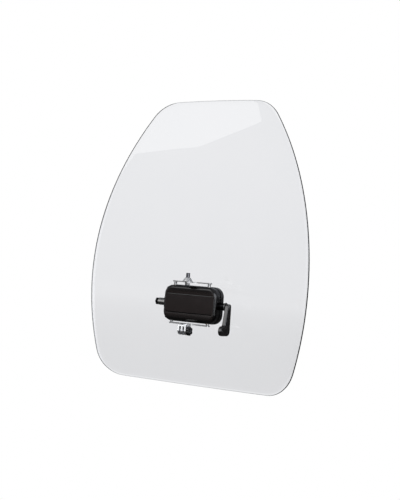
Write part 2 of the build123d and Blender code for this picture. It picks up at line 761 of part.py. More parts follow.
with BuildPart() as stud_nut:
    with BuildSketch(Plane.XY.offset(stud_nut_z)):
        RegularPolygon(stud_nut_flats / 2, 6, major_radius=False)
        Circle(stud_tail_radius + fit_gap, mode=Mode.SUBTRACT)
    extrude(amount=stud_nut_height)
stud_nut.part.label = "stud_nut"
export_step(stud_nut.part, "parts/stud_nut.step")

# ------------------------------------------------------- three-prong knuckle
prong_pitch = prong_thickness + prong_gap
with BuildPart() as mount_knuckle:
    with BuildSketch(knuckle_view.offset(-knuckle_half)):
        Circle(prong_radius)
        with Locations((0, knuckle_top / 2)):
            Rectangle(2 * prong_radius, knuckle_top)
    extrude(amount=2 * knuckle_half)
    # the two gaps between the prongs
    with BuildSketch(Plane.XY.offset(knuckle_top - knuckle_base)):
        with Locations((-prong_pitch / 2, 0), (prong_pitch / 2, 0)):
            Rectangle(prong_gap, 4 * prong_radius)
    extrude(amount=-3 * prong_radius, mode=Mode.SUBTRACT)
    with BuildSketch(knuckle_view.offset(-knuckle_half)):
        Circle(pivot_radius + pivot_clearance)
    extrude(amount=2 * knuckle_half, mode=Mode.SUBTRACT)
    with BuildSketch(knuckle_view.offset(-knuckle_half)):
        RegularPolygon(captive_nut_flats / 2 + fit_gap, 6, major_radius=False)
    extrude(amount=nut_recess, mode=Mode.SUBTRACT)
    with BuildSketch(Plane.XY.offset(knuckle_top)):
        with Locations((-knuckle_screw_x, 0), (knuckle_screw_x, 0)):
            Circle(bracket_screw_radius + fit_gap)
    extrude(amount=-knuckle_base - 1, mode=Mode.SUBTRACT)
mount_knuckle.part.label = "mount_knuckle"
export_step(mount_knuckle.part, "parts/mount_knuckle.step")

with BuildPart() as knuckle_screws:
    places = [(-knuckle_screw_x, 0), (knuckle_screw_x, 0)]
    with BuildSketch(Plane.XY.offset(lower_bracket_z)):
        with Locations(*places):
            Circle(bracket_head_radius - fit_gap)
    extrude(amount=-csk_depth, taper=45)
    with BuildSketch(Plane.XY.offset(lower_bracket_z - 0.9 * csk_depth)):
        with Locations(*places):
            Circle(bracket_screw_radius)
    extrude(amount=-(bracket_thickness - 0.9 * csk_depth + knuckle_base))
knuckle_screws.part.label = "knuckle_screws"
export_step(knuckle_screws.part, "parts/knuckle_screws.step")

nut_outer = knuckle_half - nut_recess + captive_nut_length
with BuildPart() as captive_nut:
    with BuildSketch(knuckle_view.offset(nut_recess - knuckle_half)):
        RegularPolygon(captive_nut_flats / 2, 6, major_radius=False)
        Circle(pivot_radius + pivot_clearance, mode=Mode.SUBTRACT)
    extrude(amount=-captive_nut_length)
captive_nut.part.label = "captive_nut"
export_step(captive_nut.part, "parts/captive_nut.step")

knob_inner = knuckle_half + knob_gap
with BuildPart() as thumb_screw_knob:
    with BuildSketch(knuckle_view.offset(knob_inner)):
        Circle(knob_radius)
        with PolarLocations(knob_radius + 1.2, knob_lobes):
            Circle(2.6, mode=Mode.SUBTRACT)
        Circle(pivot_radius, mode=Mode.SUBTRACT)
    extrude(amount=knob_length)
    fillet(edges().group_by(Axis.X)[-1].filter_by(
        lambda e: e.radius > pivot_radius * 1.01), radius=0.8)
thumb_screw_knob.part.label = "thumb_screw_knob"
export_step(thumb_screw_knob.part, "parts/thumb_screw_knob.step")

with BuildPart() as thumb_screw_stud:
    with BuildSketch(knuckle_view.offset(-nut_outer - tip)):
        Circle(pivot_radius)
    extrude(amount=nut_outer + tip + knob_inner + knob_length)
thumb_screw_stud.part.label = "thumb_screw_stud"
export_step(thumb_screw_stud.part, "parts/thumb_screw_stud.step")
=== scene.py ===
import json
import math

import bmesh
import bpy
from mathutils import Matrix, Vector

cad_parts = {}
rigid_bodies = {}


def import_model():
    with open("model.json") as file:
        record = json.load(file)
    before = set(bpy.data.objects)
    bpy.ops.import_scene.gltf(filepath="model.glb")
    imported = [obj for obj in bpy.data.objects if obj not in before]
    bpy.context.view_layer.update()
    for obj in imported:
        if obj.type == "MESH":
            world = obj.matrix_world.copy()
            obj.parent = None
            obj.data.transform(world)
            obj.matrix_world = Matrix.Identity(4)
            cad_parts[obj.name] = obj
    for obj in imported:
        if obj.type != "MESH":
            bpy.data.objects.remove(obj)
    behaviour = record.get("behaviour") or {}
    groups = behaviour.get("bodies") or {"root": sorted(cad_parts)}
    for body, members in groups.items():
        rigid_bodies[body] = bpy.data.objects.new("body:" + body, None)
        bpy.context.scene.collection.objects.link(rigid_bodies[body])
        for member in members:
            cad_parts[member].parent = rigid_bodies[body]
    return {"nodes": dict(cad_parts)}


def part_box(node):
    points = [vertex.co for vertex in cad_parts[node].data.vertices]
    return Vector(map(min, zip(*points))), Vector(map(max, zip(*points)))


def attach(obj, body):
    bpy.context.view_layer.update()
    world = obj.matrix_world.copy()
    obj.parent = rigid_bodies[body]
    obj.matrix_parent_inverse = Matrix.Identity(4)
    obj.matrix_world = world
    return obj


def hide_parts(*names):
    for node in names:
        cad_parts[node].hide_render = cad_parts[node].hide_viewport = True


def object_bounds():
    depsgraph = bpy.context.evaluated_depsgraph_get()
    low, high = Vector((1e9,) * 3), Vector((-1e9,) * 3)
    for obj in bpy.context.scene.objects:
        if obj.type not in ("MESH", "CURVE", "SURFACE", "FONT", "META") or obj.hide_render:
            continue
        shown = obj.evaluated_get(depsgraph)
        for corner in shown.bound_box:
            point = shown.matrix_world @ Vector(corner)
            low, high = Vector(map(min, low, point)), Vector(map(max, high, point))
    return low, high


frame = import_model()
cad_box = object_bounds()
nodes = frame["nodes"]
scene = bpy.context.scene

# ------------------------------------------------------------------ the sheet
# The screen is one sheet of 3 mm clear polycarbonate, sawn to a rounded
# trapezium. Its edge is polished round, and it is bent about an upright axis.
sheet_low, sheet_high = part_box("windscreen")
sheet_thickness = 0.003
bend_radius = 0.585
half_width = sheet_high[0]
bend_axis_y = sheet_high[1] - sheet_thickness - bend_radius
widest_rise = 0.174
widest_level = sheet_low[2] + widest_rise
side_radius = 0.485
top_sag, bottom_sag = 0.004, 0.0042
top_corner, bottom_corner = 0.060, 0.055
side_centre = Vector((half_width - side_radius, widest_level))


def edge_arc(level, sag, way):
    """Centre and radius of the crowned top (way 1) or bottom (way -1) edge."""
    reach = math.sqrt(side_radius ** 2 - (abs(level - widest_level) - sag) ** 2)
    corner_x = side_centre.x + reach
    radius = (corner_x ** 2 + sag ** 2) / (2 * sag)
    return Vector((0.0, level - way * radius)), radius


def corner_centre(edge_centre, edge_radius, radius):
    """Centre of the arc that rounds a corner, tangent inside the side's and the edge's arcs."""
    to_side, to_edge = side_radius - radius, edge_radius - radius
    between = side_centre - edge_centre
    along = (between.length ** 2 + to_edge ** 2 - to_side ** 2) / (2 * between.length)
    across = math.sqrt(to_edge ** 2 - along ** 2)
    unit = between.normalized()
    normal = Vector((-unit.y, unit.x))
    return max((edge_centre + unit * along + normal * s * across for s in (-1, 1)), key=lambda p: p.x)


def arc(centre, radius, start, end, count):
    """Points on an arc between two directions, the last left off."""
    first = math.atan2(start.y, start.x)
    last = math.atan2(end.y, end.x)
    return [
        centre + radius * Vector((math.cos(first + (last - first) * i / count),
                                  math.sin(first + (last - first) * i / count)))
        for i in range(count)
    ]


bottom_centre, bottom_radius = edge_arc(sheet_low[2], bottom_sag, -1)
top_centre, top_radius = edge_arc(sheet_high[2], top_sag, 1)
low_corner = corner_centre(bottom_centre, bottom_radius, bottom_corner)
high_corner = corner_centre(top_centre, top_radius, top_corner)
bottom_steps, corner_steps, side_steps, top_steps = 40, 28, 90, 22
right_half = (
    arc(bottom_centre, bottom_radius, Vector((0, -1)), low_corner - bottom_centre, bottom_steps)
    + arc(low_corner, bottom_corner, low_corner - bottom_centre, low_corner - side_centre, corner_steps)
    + arc(side_centre, side_radius, low_corner - side_centre, high_corner - side_centre, side_steps)
    + arc(high_corner, top_corner, high_corner - side_centre, high_corner - top_centre, corner_steps)
    + arc(top_centre, top_radius, high_corner - top_centre, Vector((0, 1)), top_steps)
)
outline = right_half + [Vector((0.0, sheet_high[2]))]
outline += [Vector((-p.x, p.y)) for p in reversed(right_half[1:])]
outline_count = len(outline)
outward = []
for i in range(outline_count):
    run = outline[(i + 1) % outline_count] - outline[i - 1]
    outward.append(Vector((run.y, -run.x)).normalized())

# A flat slab first: rings over one face, round the polished edge, and back over the other.
face_rings, rim_steps = 30, 8
rim = sheet_thickness / 2
hub_rise = 0.23
middle = Vector((0.0, sheet_low[2] + hub_rise))
profile = [(ring / face_rings, rim, 0.0) for ring in range(1, face_rings)]
profile += [
    (1.0, rim * (1 - math.sin(math.pi * i / rim_steps)), rim * (1 - math.cos(math.pi * i / rim_steps)))
    for i in range(rim_steps + 1)
]
profile += [(ring / face_rings, rim, sheet_thickness) for ring in range(face_rings - 1, 0, -1)]
slab = bmesh.new()
rings = []
for share, inset, depth in profile:
    flat = [middle + (p - o * inset - middle) * share for p, o in zip(outline, outward)]
    rings.append([slab.verts.new((p.x, depth, p.y)) for p in flat])
for ring, following in zip(rings, rings[1:]):
    for i in range(outline_count):
        j = (i + 1) % outline_count
        slab.faces.new((ring[i], ring[j], following[j], following[i]))
for ring, depth in ((rings[0], 0.0), (rings[-1], sheet_thickness)):
    hub = slab.verts.new((middle.x, depth, middle.y))
    for i in range(outline_count):
        slab.faces.new((hub, ring[i], ring[(i + 1) % outline_count]))
bmesh.ops.recalc_face_normals(slab, faces=slab.faces)
slab_mesh = bpy.data.meshes.new("clear_sheet")
slab.to_mesh(slab_mesh)
slab.free()
sheet = bpy.data.objects.new("clear_sheet", slab_mesh)
scene.collection.objects.link(sheet)

# Four plain holes take the grommets.
hole_radius = 0.0042
hole_across, hole_up = 0.022, 0.014
hole_level = (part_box("screen_screws")[0][2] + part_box("screen_screws")[1][2]) / 2
drill_sides, drill_length = 40, 0.02
pointing_forward = Matrix.Rotation(math.pi / 2, 4, "X")
drills = bmesh.new()
for x in (-hole_across, hole_across):
    for z in (-hole_up, hole_up):
        place = Matrix.Translation((x, sheet_thickness / 2, hole_level + z)) @ pointing_forward
        bmesh.ops.create_cone(drills, cap_ends=True, segments=drill_sides, radius1=hole_radius,
                              radius2=hole_radius, depth=drill_length, matrix=place)
drill_mesh = bpy.data.meshes.new("drills")
drills.to_mesh(drill_mesh)
drills.free()
drill = bpy.data.objects.new("drills", drill_mesh)
scene.collection.objects.link(drill)
cut = sheet.modifiers.new("holes", "BOOLEAN")
cut.operation, cut.object, cut.solver = "DIFFERENCE", drill, "EXACT"


def settle(piece):
    """Turns the piece's modifiers into its own plain mesh."""
    bpy.context.view_layer.update()
    graph = bpy.context.evaluated_depsgraph_get()
    plain = bpy.data.meshes.new_from_object(piece.evaluated_get(graph))
    piece.modifiers.clear()
    piece.data = plain


settle(sheet)
bpy.data.objects.remove(drill)


def add_node(tree, kind, links=None, **settings):
    """One node with its settings; links maps an input's name or number to a value or a socket."""
    node = tree.nodes.new(kind)
    for key, value in settings.items():
        setattr(node, key, value)
    for key, value in (links or {}).items():
        if isinstance(value, bpy.types.NodeSocket):
            tree.links.new(value, node.inputs[key])
        else:
            node.inputs[key].default_value = value
    return node


def colour(code):
    """An sRGB hex colour as linear RGBA."""
    parts = [int(code[i:i + 2], 16) / 255 for i in (1, 3, 5)]
    return (*[c / 12.92 if c <= 0.04045 else ((c + 0.055) / 1.055) ** 2.4 for c in parts], 1.0)


def shape_tree(name, sizes):
    """A geometry tree with a named input for each size and one for its finish."""
    tree = bpy.data.node_groups.new(name, "GeometryNodeTree")
    tree.interface.new_socket("Geometry", in_out="INPUT", socket_type="NodeSocketGeometry")
    for size in sizes:
        tree.interface.new_socket(size, in_out="INPUT", socket_type="NodeSocketFloat")
    tree.interface.new_socket("Finish", in_out="INPUT", socket_type="NodeSocketMaterial")
    tree.interface.new_socket("Geometry", in_out="OUTPUT", socket_type="NodeSocketGeometry")
    return tree, add_node(tree, "NodeGroupInput").outputs


def shape(piece, tree, last, given, sizes, finish):
    """Ends the tree in real, finished geometry, gives it its sizes, and settles the piece."""
    real = add_node(tree, "GeometryNodeRealizeInstances", {"Geometry": last})
    done = add_node(tree, "GeometryNodeSetMaterial", {
        "Geometry": real.outputs[0], "Material": given["Finish"]})
    add_node(tree, "NodeGroupOutput", {0: done.outputs[0]})
    modifier = piece.modifiers.new(tree.name, "NODES")
    modifier.node_group = tree
    for item in tree.interface.items_tree:
        if item.in_out == "INPUT" and item.name in sizes:
            modifier[item.identifier] = float(sizes[item.name])
        elif item.in_out == "INPUT" and item.name == "Finish":
            modifier[item.identifier] = finish
    settle(piece)


def clear_polycarbonate():
    """Extruded polycarbonate: water-clear, glossy on both faces, with a faint cool grey
    cast through its thickness that shows dark where light crosses it edgeways."""
    made = bpy.data.materials.new("clear polycarbonate")
    made.use_nodes = True
    tree = made.node_tree
    shader = tree.nodes["Principled BSDF"]
    shader.inputs["Transmission Weight"].default_value = 1.0
    shader.inputs["IOR"].default_value = 1.585
    where = add_node(tree, "ShaderNodeTexCoord")
    # wiping leaves the gloss a little uneven over a hand's breadth
    wipe = add_node(tree, "ShaderNodeTexNoise", {
        "Vector": where.outputs["Object"], "Scale": 1 / 0.09, "Detail": 2.0})
    tint = add_node(tree, "ShaderNodeMix", {
        0: wipe.outputs["Fac"], 6: colour("#f6f7f9"), 7: colour("#f9f9fb")}, data_type="RGBA")
    tree.links.new(tint.outputs[2], shader.inputs["Base Color"])
    gloss = add_node(tree, "ShaderNodeMapRange", {
        "Value": wipe.outputs["Fac"], "To Min": 0.0, "To Max": 0.012})
    tree.links.new(gloss.outputs[0], shader.inputs["Roughness"])
    cast = add_node(tree, "ShaderNodeVolumeAbsorption", {"Color": colour("#b4b8be"), "Density": 26.0})
    tree.links.new(cast.outputs[0], tree.nodes["Material Output"].inputs["Volume"])
    return made


def polished_edge():
    """The flame-polished edge: the same polycarbonate, seen through its whole width, so it
    reads as a grey line."""
    made = bpy.data.materials.new("polished polycarbonate edge")
    made.use_nodes = True
    tree = made.node_tree
    shader = tree.nodes["Principled BSDF"]
    shader.inputs["Transmission Weight"].default_value = 1.0
    shader.inputs["IOR"].default_value = 1.585
    where = add_node(tree, "ShaderNodeTexCoord")
    flame = add_node(tree, "ShaderNodeTexNoise", {
        "Vector": where.outputs["Object"], "Scale": 1 / 0.02, "Detail": 3.0})
    tint = add_node(tree, "ShaderNodeMix", {
        0: flame.outputs["Fac"], 6: colour("#a4a8ac"), 7: colour("#bcc0c3")}, data_type="RGBA")
    tree.links.new(tint.outputs[2], shader.inputs["Base Color"])
    gloss = add_node(tree, "ShaderNodeMapRange", {
        "Value": flame.outputs["Fac"], "To Min": 0.1, "To Max": 0.25})
    tree.links.new(gloss.outputs[0], shader.inputs["Roughness"])
    return made


bend, given = shape_tree("bend the sheet", ["Bend radius", "Axis"])
at = add_node(bend, "ShaderNodeSeparateXYZ", {0: add_node(bend, "GeometryNodeInputPosition").outputs[0]})
ray = add_node(bend, "ShaderNodeMath", {0: at.outputs["Y"], 1: given["Bend radius"]}, operation="ADD")
ray_squared = add_node(bend, "ShaderNodeMath", {0: ray.outputs[0], 1: ray.outputs[0]}, operation="MULTIPLY")
x_squared = add_node(bend, "ShaderNodeMath", {0: at.outputs["X"], 1: at.outputs["X"]}, operation="MULTIPLY")
left = add_node(bend, "ShaderNodeMath", {0: ray_squared.outputs[0], 1: x_squared.outputs[0]},
                operation="SUBTRACT")
root = add_node(bend, "ShaderNodeMath", {0: left.outputs[0]}, operation="SQRT")
forward = add_node(bend, "ShaderNodeMath", {0: root.outputs[0], 1: given["Axis"]}, operation="ADD")
curved = add_node(bend, "ShaderNodeCombineXYZ", {
    0: at.outputs["X"], 1: forward.outputs[0], 2: at.outputs["Z"]})
moved = add_node(bend, "GeometryNodeSetPosition", {
    "Geometry": given["Geometry"], "Position": curved.outputs[0]})
shape(sheet, bend, moved.outputs[0], given,
      {"Bend radius": bend_radius, "Axis": bend_axis_y}, clear_polycarbonate())
smooth_angle = math.radians(32)
sheet.data.materials.append(polished_edge())
# A face that looks along the bend's radius is on the sheet's front or back; the rest are its edge.
along_the_radius = 0.9
for face in sheet.data.polygons:
    radial = Vector((face.center.x, face.center.y - bend_axis_y, 0.0)).normalized()
    face.material_index = 1 if abs(face.normal.dot(radial)) < along_the_radius else 0
sheet.data.shade_smooth()
sheet.data.set_sharp_from_angle(angle=smooth_angle)
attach(sheet, "screen")
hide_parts("windscreen")

# ---------------------------------------------------------------- the carrier
# A black die-cast carrier: a plate behind the sheet with a neck and a barrel
# that turns on the shaft. Its edges are tumbled and its faces satin painted.


def copy_of(node, piece, edge):
    """A merged copy of a CAD node, its long edges broken by a small round, as its own piece."""
    weld_distance, flat_angle, edge_angle = 2e-6, math.radians(0.6), math.radians(40)
    mesh = nodes[node].data.copy()
    mesh.name = piece
    work = bmesh.new()
    work.from_mesh(mesh)
    bmesh.ops.remove_doubles(work, verts=work.verts, dist=weld_distance)
    bmesh.ops.dissolve_limit(work, angle_limit=flat_angle, verts=work.verts, edges=work.edges)
    work.to_mesh(mesh)
    work.free()
    made = bpy.data.objects.new(piece, mesh)
    scene.collection.objects.link(made)
    if edge:
        broken = made.modifiers.new("broken edges", "BEVEL")
        broken.width, broken.segments, broken.limit_method = edge, 2, "ANGLE"
        broken.angle_limit = edge_angle
        broken.use_clamp_overlap = True
        settle(made)
    made.data.shade_smooth()
    made.data.set_sharp_from_angle(angle=smooth_angle)
    flats = made.modifiers.new("true flats", "WEIGHTED_NORMAL")
    flats.mode, flats.weight, flats.keep_sharp = "FACE_AREA", 100, True
    settle(made)
    return made


def fit(piece, body, finish, slot, *stands_for):
    """Puts a finished piece on its body in place of its CAD nodes."""
    piece.data.materials.clear()
    piece.data.materials.append(finish)
    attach(piece, body)
    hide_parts(*stands_for)


def moulding(name, base, worn, roughness, grain, depth, coat=0.0):
    """A moulded or painted finish: fine grain (its size in metres), gloss that varies with
    handling, and another tone where it has rubbed."""
    made = bpy.data.materials.new(name)
    made.use_nodes = True
    tree = made.node_tree
    shader = tree.nodes["Principled BSDF"]
    shader.inputs["IOR"].default_value = 1.5
    shader.inputs["Coat Weight"].default_value = coat
    shader.inputs["Coat Roughness"].default_value = 0.08
    where = add_node(tree, "ShaderNodeTexCoord", name="where").outputs["Object"]
    rub_size = 0.018
    rub = add_node(tree, "ShaderNodeTexNoise", {"Vector": where, "Scale": 1 / rub_size, "Detail": 5.0})
    rubbed = add_node(tree, "ShaderNodeMapRange", {
        "Value": rub.outputs["Fac"], "From Min": 0.48, "From Max": 0.72})
    tone = add_node(tree, "ShaderNodeMix", {
        0: rubbed.outputs[0], 6: colour(base), 7: colour(worn)}, data_type="RGBA", name="tone")
    tree.links.new(tone.outputs[2], shader.inputs["Base Color"])
    gloss = add_node(tree, "ShaderNodeMapRange", {
        "Value": rub.outputs["Fac"], "To Min": roughness * 0.82, "To Max": roughness * 1.2}, name="gloss")
    tree.links.new(gloss.outputs[0], shader.inputs["Roughness"])
    pebble = add_node(tree, "ShaderNodeTexVoronoi", {"Vector": where, "Scale": 1 / grain})
    raised = add_node(tree, "ShaderNodeBump", {
        "Height": pebble.outputs["Distance"], "Strength": 0.5, "Distance": depth})
    tree.links.new(raised.outputs[0], shader.inputs["Normal"])
    return made


satin_paint = moulding("satin black paint on zinc casting", "#161616", "#1f1f1f", 0.38, 0.0006, 0.00002)
carrier = copy_of("carrier", "cast_carrier", 0.0003)
fit(carrier, "screen", satin_paint, "black_casting", "carrier")

# -------------------------------------------------- the carrier's inner fittings
# Acetal bushes line the barrel, and plain brass inserts are pressed in for the
# screen screws. They are turned parts that hardly show.


def turned(name, base, worn, roughness, lay, axis, metal=1.0):
    """A turned, ground or brushed finish: fine marks that run round or along one axis, lay
    apart (metres), with a duller bloom of handling over a thumb's width."""
    made = bpy.data.materials.new(name)
    made.use_nodes = True
    tree = made.node_tree
    shader = tree.nodes["Principled BSDF"]
    shader.inputs["Metallic"].default_value = metal
    where = add_node(tree, "ShaderNodeTexCoord").outputs["Object"]
    drawn_out, bloom_size = 0.04, 0.012
    stretch = [1 / lay if i == axis else drawn_out / lay for i in range(3)]
    run = add_node(tree, "ShaderNodeVectorMath", {0: where, 1: stretch}, operation="MULTIPLY")
    marks = add_node(tree, "ShaderNodeTexNoise", {"Vector": run.outputs[0], "Scale": 1.0, "Detail": 3.0})
    bloom = add_node(tree, "ShaderNodeTexNoise", {"Vector": where, "Scale": 1 / bloom_size, "Detail": 4.0})
    tone = add_node(tree, "ShaderNodeMix", {
        0: bloom.outputs["Fac"], 6: colour(base), 7: colour(worn)}, data_type="RGBA")
    tree.links.new(tone.outputs[2], shader.inputs["Base Color"])
    both = add_node(tree, "ShaderNodeMath", {0: marks.outputs["Fac"], 1: bloom.outputs["Fac"]},
                    operation="ADD")
    gloss = add_node(tree, "ShaderNodeMapRange", {
        "Value": both.outputs[0], "From Min": 0.5, "From Max": 1.5,
        "To Min": roughness * 0.7, "To Max": roughness * 1.4})
    tree.links.new(gloss.outputs[0], shader.inputs["Roughness"])
    scored = add_node(tree, "ShaderNodeBump", {
        "Height": marks.outputs["Fac"], "Strength": 0.35, "Distance": 0.00001})
    tree.links.new(scored.outputs[0], shader.inputs["Normal"])
    return made


def finish_node(node, finish):
    """Gives a CAD node that stays its real finish."""
    nodes[node].material_slots[0].material = finish


acetal = moulding("turned natural acetal", "#e3e0d2", "#d6d2c2", 0.42, 0.0005, 0.000006)
brass = turned("turned brass", "#c9a25a", "#a98445", 0.28, 0.0003, 1)
finish_node("carrier_bushes", acetal)
finish_node("carrier_inserts", brass)
finish_node("cover_inserts", brass)
finish_node("bracket_inserts", brass)
finish_node("lever_insert", brass)

# --------------------------------------------------------- the screen's fixings
# The sheet is held by four black domed socket screws. Each has a nylon washer and
# a rubber grommet that keeps the screw off the polycarbonate.


def one_of(node, piece, edge):
    """One of a node's like parts, the rightmost and highest, centred on the tilt axis's
    upright, with the spans between the parts: (object, across, up, level)."""
    made = copy_of(node, piece, edge)
    work = bmesh.new()
    work.from_mesh(made.data)
    groups, seen = [], set()
    for start in work.verts:
        if start in seen:
            continue
        seen.add(start)
        group, edgewise = [], [start]
        while edgewise:
            vert = edgewise.pop()
            group.append(vert)
            for spoke in vert.link_edges:
                other = spoke.other_vert(vert)
                if other not in seen:
                    seen.add(other)
                    edgewise.append(other)
        low = Vector([min(v.co[i] for v in group) for i in range(3)])
        high = Vector([max(v.co[i] for v in group) for i in range(3)])
        groups.append(((low + high) / 2, group))
    spread = [max(c[i] for c, _ in groups) - min(c[i] for c, _ in groups) for i in range(3)]
    level = (max(c.z for c, _ in groups) + min(c.z for c, _ in groups)) / 2
    corner = Vector((spread[0] / 2, 0.0, level + spread[2] / 2))
    near = 1e-3
    keep = [g for c, g in groups if abs(c.x - corner.x) < near and abs(c.z - corner.z) < near]
    kept = {v for group in keep for v in group}
    bmesh.ops.delete(work, geom=[v for v in work.verts if v not in kept], context="VERTS")
    bmesh.ops.translate(work, verts=work.verts, vec=(-corner.x, 0.0, -corner.z))
    work.to_mesh(made.data)
    work.free()
    return made, spread[0], spread[2], level


def four_corners(node, piece, edge, body, finish, slot):
    """The same part at the four corners of a pattern, by a small geometry tree."""
    made, across, up, level = one_of(node, piece, edge)
    tree, given = shape_tree("four corners of " + piece, ["Across", "Up", "Level"])
    grid = add_node(tree, "GeometryNodeMeshGrid", {
        "Size X": given["Across"], "Size Y": given["Up"], "Vertices X": 2, "Vertices Y": 2})
    height = add_node(tree, "ShaderNodeCombineXYZ", {2: given["Level"]})
    upright = add_node(tree, "GeometryNodeTransform", {
        "Geometry": grid.outputs["Mesh"], "Rotation": (math.pi / 2, 0.0, 0.0),
        "Translation": height.outputs[0]})
    placed = add_node(tree, "GeometryNodeInstanceOnPoints", {
        "Points": upright.outputs[0], "Instance": given["Geometry"]})
    shape(made, tree, placed.outputs[0], given, {"Across": across, "Up": up, "Level": level}, finish)
    fit(made, body, finish, slot, node)


black_oxide = turned("black oxide steel", "#1b1b1d", "#2b2b2d", 0.32, 0.0003, 1)
nylon = moulding("black nylon", "#141414", "#1d1d1d", 0.42, 0.0004, 0.000008)
rubber = moulding("moulded black rubber", "#121212", "#1c1b1a", 0.72, 0.0005, 0.00002)
four_corners("screen_grommets", "screen_grommets_rubber", 0.0002, "screen", rubber, "rubber")
four_corners("screen_washers", "screen_washers_nylon", 0.0001, "screen", nylon, "nylon")
four_corners("screen_screws", "screen_screws_black", 0.0002, "screen", black_oxide, "black_steel")

# ------------------------------------------------------------ the clamp housing
# Two ABS mouldings meet at a gasket: a plain rear half, and a front cover with a
# wide rounded edge and two grooves, gloss black with a fine spark-eroded grain.
housing_black = moulding("gloss black ABS housing", "#0c0b0b", "#151413", 0.2, 0.0007, 0.000012, 0.3)
cover_black = moulding("gloss black ABS cover", "#2a2321", "#312927", 0.3, 0.0008, 0.000018, 0.2)
# The grain is on the middle of the cover's front face and fades out past the grooves. The grooves,
# rounds and sides are glossier, and their colour is painted near black there as painted shade.
front_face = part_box("front_cover")[0][1]
cover_level = (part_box("front_cover")[0][2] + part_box("front_cover")[1][2]) / 2
grain_depth, gloss_and_shade_depth = 0.0002, 0.0010
grain_reach, gloss_and_shade_reach = 0.0175, 0.0255
polish_roughness = 0.14
tree = cover_black.node_tree
shader = tree.nodes["Principled BSDF"]
spot = add_node(tree, "ShaderNodeSeparateXYZ", {0: tree.nodes["where"].outputs["Object"]})
# This mask makes the grooves, sides and outer bands glossier and also paints them near black as painted
# shade.
polished = add_node(tree, "ShaderNodeMapRange", {
    "Value": spot.outputs["Y"], "From Min": front_face + grain_depth,
    "From Max": front_face + gloss_and_shade_depth})
rise = add_node(tree, "ShaderNodeMath", {0: spot.outputs["Z"], 1: cover_level}, operation="SUBTRACT")
above = add_node(tree, "ShaderNodeMath", {0: rise.outputs[0]}, operation="ABSOLUTE")
outer_bands_gloss_and_shade = add_node(tree, "ShaderNodeMapRange", {
    "Value": above.outputs[0], "From Min": grain_reach, "From Max": gloss_and_shade_reach})
gloss_and_painted_shade = add_node(tree, "ShaderNodeMath", {
    0: polished.outputs[0], 1: outer_bands_gloss_and_shade.outputs[0]}, operation="MAXIMUM")
# Painted shade: the grooves, the sides and the bands past the grooves take a near-black colour.
painted_shade_colour = add_node(tree, "ShaderNodeMix", {
    0: gloss_and_painted_shade.outputs[0], 6: tree.nodes["tone"].outputs[2], 7: colour("#070606")}, data_type="RGBA")
tree.links.new(painted_shade_colour.outputs[2], shader.inputs["Base Color"])
gloss = add_node(tree, "ShaderNodeMix", {
    0: gloss_and_painted_shade.outputs[0], 2: tree.nodes["gloss"].outputs[0], 3: polish_roughness})
tree.links.new(gloss.outputs[0], shader.inputs["Roughness"])
rear = copy_of("rear_housing", "rear_housing_abs", 0.0)
fit(rear, "mount", housing_black, "housing", "rear_housing")
cover = copy_of("front_cover", "front_cover_abs", 0.0)
fit(cover, "mount", cover_black, "cover", "front_cover")
finish_node("cover_gasket", rubber)
zinc_steel = turned("bright zinc-plated steel", "#b9babd", "#9a9b9f", 0.25, 0.0003, 1)
four_corners("cover_screws", "cover_screws_zinc", 0.0001, "mount", zinc_steel, "steel")

# ------------------------------------------------------------- the tilt clutch
# An M6 shaft runs through the housing. Dished springs and fibre friction discs
# hold the barrel, and turned sleeves press them from both ends, the right one blacked.
shaft_steel = turned("ground stainless shaft", "#c4c4c2", "#a8a8a6", 0.18, 0.0002, 0)
sleeve_steel = turned("turned stainless sleeve", "#8f8f8d", "#6f6f6e", 0.3, 0.0004, 0)
spring_steel = turned("dished spring steel", "#7f7d78", "#65635f", 0.35, 0.0003, 0)
fibre = moulding("pressed friction fibre", "#4a4038", "#5a4d42", 0.8, 0.0008, 0.00003)
finish_node("tilt_shaft", shaft_steel)
finish_node("friction_discs", fibre)
finish_node("spring_washers", spring_steel)
fit(copy_of("adjuster_sleeve", "adjuster_sleeve_steel", 0.0003), "mount", sleeve_steel,
    "polished_steel", "adjuster_sleeve")
fit(copy_of("thrust_sleeve", "thrust_sleeve_black", 0.0003), "mount", black_oxide, "polished_steel",
    "thrust_sleeve")
fit(copy_of("thrust_washer", "thrust_washer_steel", 0.0002), "mount", sleeve_steel, "polished_steel",
    "thrust_washer")

# ------------------------------------------------------------ the adjuster nut
# A black M6 hexagon nut on the shaft's left end sets how tight the clutch grips.
nut = copy_of("adjuster_nut", "adjuster_nut_black", 0.0004)
fit(nut, "nut", black_oxide, "black_steel", "adjuster_nut")

# ------------------------------------------------------------- the clamp lever
# A glossy black nylon lever on the right end, with a thumb paddle that has a
# pressed dimple, and a bright pan-head screw in its eye.
lever_black = moulding("gloss black glass-filled nylon", "#141212", "#1f1d1b", 0.16, 0.0009, 0.000025, 0.5)
lever = copy_of("clamp_lever", "clamp_lever_nylon", 0.0006)
fit(lever, "lever", lever_black, "lever_plastic", "clamp_lever")
bright_steel = turned("polished stainless screw", "#dadad8", "#bfbfbd", 0.1, 0.0002, 0)
fit(copy_of("lever_screw", "lever_screw_bright", 0.0002), "lever", bright_steel, "steel", "lever_screw")

# ---------------------------------------------------------------- the brackets
# Bent stainless strips stand off the housing above and below, on short posts,
# each held by two countersunk screws. The strip is polished along its length.
strip_steel = turned("polished stainless strip", "#f4f4f2", "#e4e4e2", 0.42, 0.0003, 1)
post_steel = turned("turned stainless post", "#cfcfcd", "#b0b0ae", 0.3, 0.0003, 2)
for bracket in ("upper_bracket", "lower_bracket"):
    fit(copy_of(bracket, bracket + "_steel", 0.0004), "mount", strip_steel, "chrome", bracket)
fit(copy_of("bracket_standoffs", "bracket_posts", 0.0002), "mount", post_steel, "polished_steel",
    "bracket_standoffs")
fit(copy_of("bracket_screws", "bracket_screws_bright", 0.00015), "mount", bright_steel, "steel",
    "bracket_screws")

